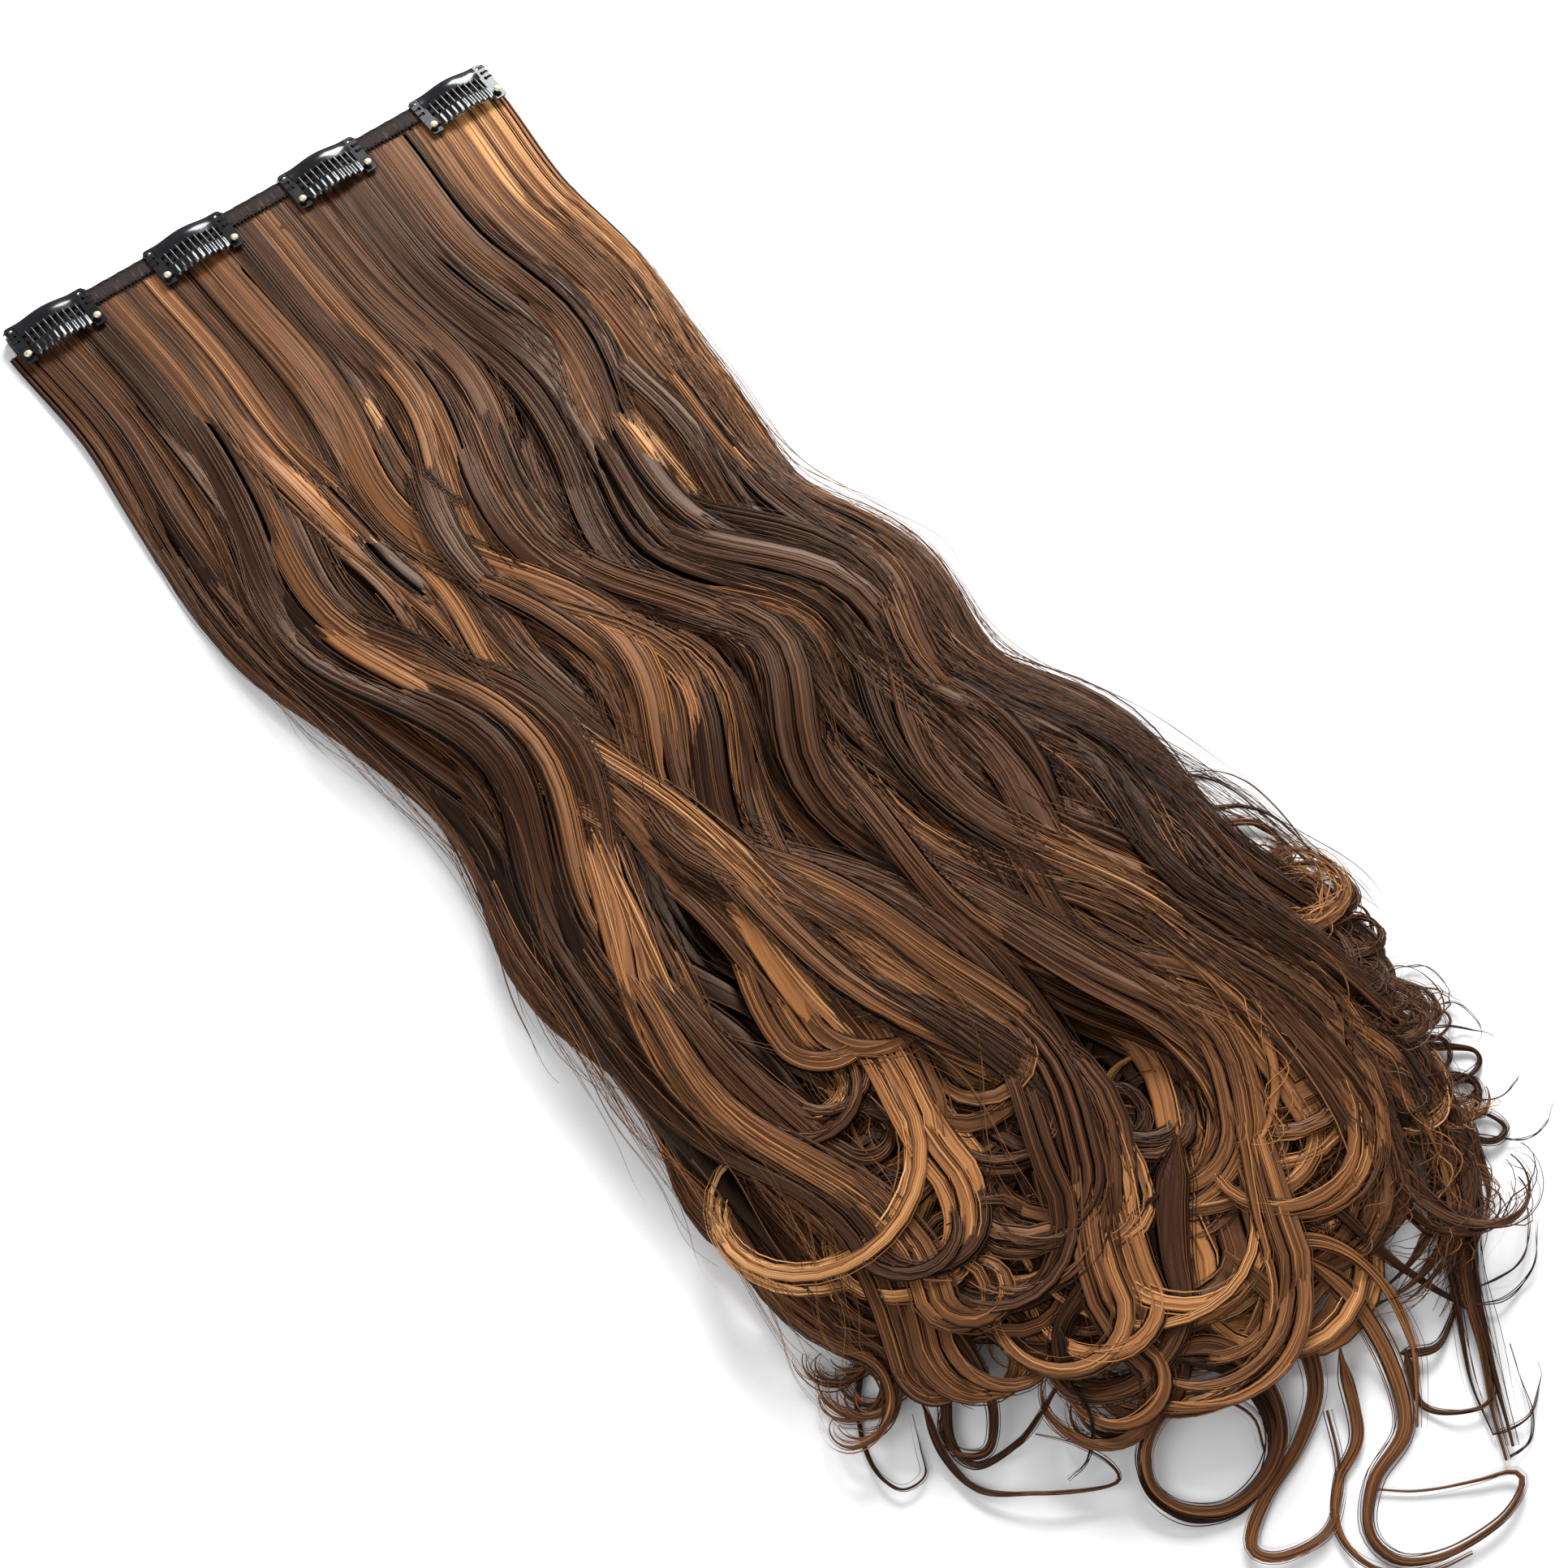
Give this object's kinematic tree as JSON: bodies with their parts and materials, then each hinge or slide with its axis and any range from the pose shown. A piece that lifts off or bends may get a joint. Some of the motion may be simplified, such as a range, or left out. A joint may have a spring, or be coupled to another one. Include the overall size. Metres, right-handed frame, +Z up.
{
  "type": "clip in hair extension",
  "caption": "Wavy highlighted brown hair weft, curled at the tips, on a sewn band with four black snap comb clips that open on rivets.",
  "frame": {"origin": "middle of the flat underside of the weft's sewn seam, on the table", "axes": "+X along the weft to the right end, +Y from the hair's tips to the weft, +Z up"},
  "size_m": [0.2275, 0.6079, 0.0228],
  "materials": {
    "hair": "glossy wavy fibres in dark brown, mid brown and caramel",
    "seam_thread": "dark brown hair sewn over and over with dark thread",
    "tape": "matt black woven band with stitched rows",
    "clip_paint": "glossy black paint on spring steel",
    "rivet_brass": "pale plated brass, smooth dome"
  },
  "bodies": {
    "root": {"hair": "hair", "weft_seam": "seam_thread", "weft_tape": "tape", "clip_1_frame": "clip_paint", "clip_1_rivet_left": "rivet_brass", "clip_1_rivet_right": "rivet_brass", "clip_2_frame": "clip_paint", "clip_2_rivet_left": "rivet_brass", "clip_2_rivet_right": "rivet_brass", "clip_3_frame": "clip_paint", "clip_3_rivet_left": "rivet_brass", "clip_3_rivet_right": "rivet_brass", "clip_4_frame": "clip_paint", "clip_4_rivet_left": "rivet_brass", "clip_4_rivet_right": "rivet_brass"},
    "comb_1": {"clip_1_comb": "clip_paint"},
    "comb_2": {"clip_2_comb": "clip_paint"},
    "comb_3": {"clip_3_comb": "clip_paint"},
    "comb_4": {"clip_4_comb": "clip_paint"}
  },
  "joints": [
    {"name": "clip_1_snap", "type": "hinge", "parent": "root", "child": "comb_1", "pos_m": [-0.084, -0.0099, 0.00605], "axis": [1, 0, 0], "range_deg": [0, 35]},
    {"name": "clip_2_snap", "type": "hinge", "parent": "root", "child": "comb_2", "pos_m": [-0.028, -0.0099, 0.00605], "axis": [1, 0, 0], "range_deg": [0, 35]},
    {"name": "clip_3_snap", "type": "hinge", "parent": "root", "child": "comb_3", "pos_m": [0.028, -0.0099, 0.00605], "axis": [1, 0, 0], "range_deg": [0, 35]},
    {"name": "clip_4_snap", "type": "hinge", "parent": "root", "child": "comb_4", "pos_m": [0.084, -0.0099, 0.00605], "axis": [1, 0, 0], "range_deg": [0, 35]}
  ]
}
